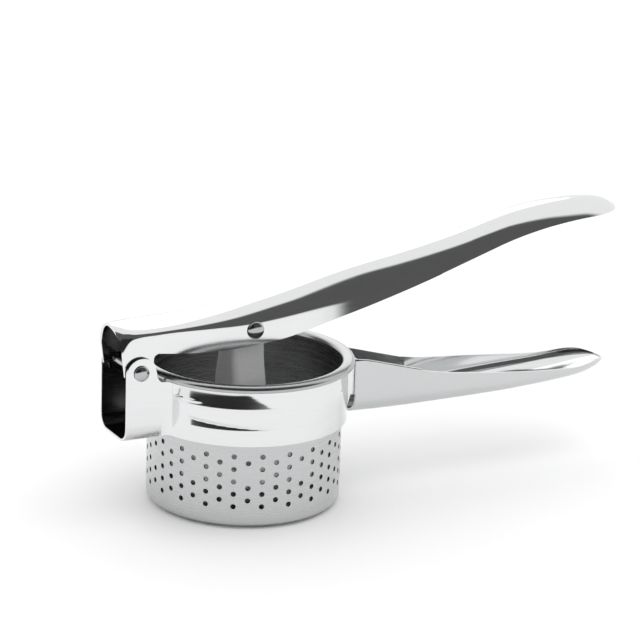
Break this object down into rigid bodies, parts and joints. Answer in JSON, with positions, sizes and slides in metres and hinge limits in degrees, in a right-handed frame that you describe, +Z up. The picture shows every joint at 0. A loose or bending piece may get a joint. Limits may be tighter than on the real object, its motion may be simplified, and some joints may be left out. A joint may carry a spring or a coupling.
{
  "type": "potato ricer",
  "caption": "Hand-held potato ricer: a perforated cup hangs in a sheet-metal collar and a hinged lever presses a round plunger down into it.",
  "frame": {"origin": "centre of the cup's flat underside, which is what the ricer stands on", "axes": "+Z up along the cup's axis, +X towards the free ends of the handles, -Y the near side; the object is symmetric about the XZ plane"},
  "size_m": [0.2375, 0.089, 0.1137],
  "materials": {
    "polished_steel": "polished stainless steel",
    "brushed_steel": "finely brushed stainless steel",
    "rivet_steel": "bright domed rivet",
    "plunger_steel": "mill-finish stainless steel"
  },
  "bodies": {
    "frame": {"collar_frame": "polished_steel", "lower_handle": "polished_steel"},
    "basket": {"basket": "brushed_steel"},
    "lever": {"lever": "polished_steel", "hinge_rivet": "rivet_steel", "plunger_rivet": "rivet_steel", "plunger_spacer_near": "plunger_steel", "plunger_spacer_far": "plunger_steel"},
    "plunger": {"plunger_stem": "plunger_steel", "plunger_disc": "plunger_steel", "disc_rivet_near": "rivet_steel", "disc_rivet_far": "rivet_steel"}
  },
  "joints": [
    {"name": "basket_turn", "type": "hinge", "parent": "frame", "child": "basket", "pos_m": [0, 0, 0.03], "axis": [0, 0, 1], "continuous": true},
    {"name": "lever_turn", "type": "hinge", "parent": "frame", "child": "lever", "pos_m": [-0.0523, 0, 0.0626], "axis": [0, -1, 0], "range_deg": [-9.5, 72]},
    {"name": "plunger_swing", "type": "hinge", "parent": "lever", "child": "plunger", "pos_m": [-0.0022, 0, 0.0747], "axis": [0, -1, 0], "range_deg": [-33.2, 4.4]}
  ],
  "couplings": [
    {"joint": "plunger_swing", "follows": "lever_turn", "ratio": -0.46}
  ]
}
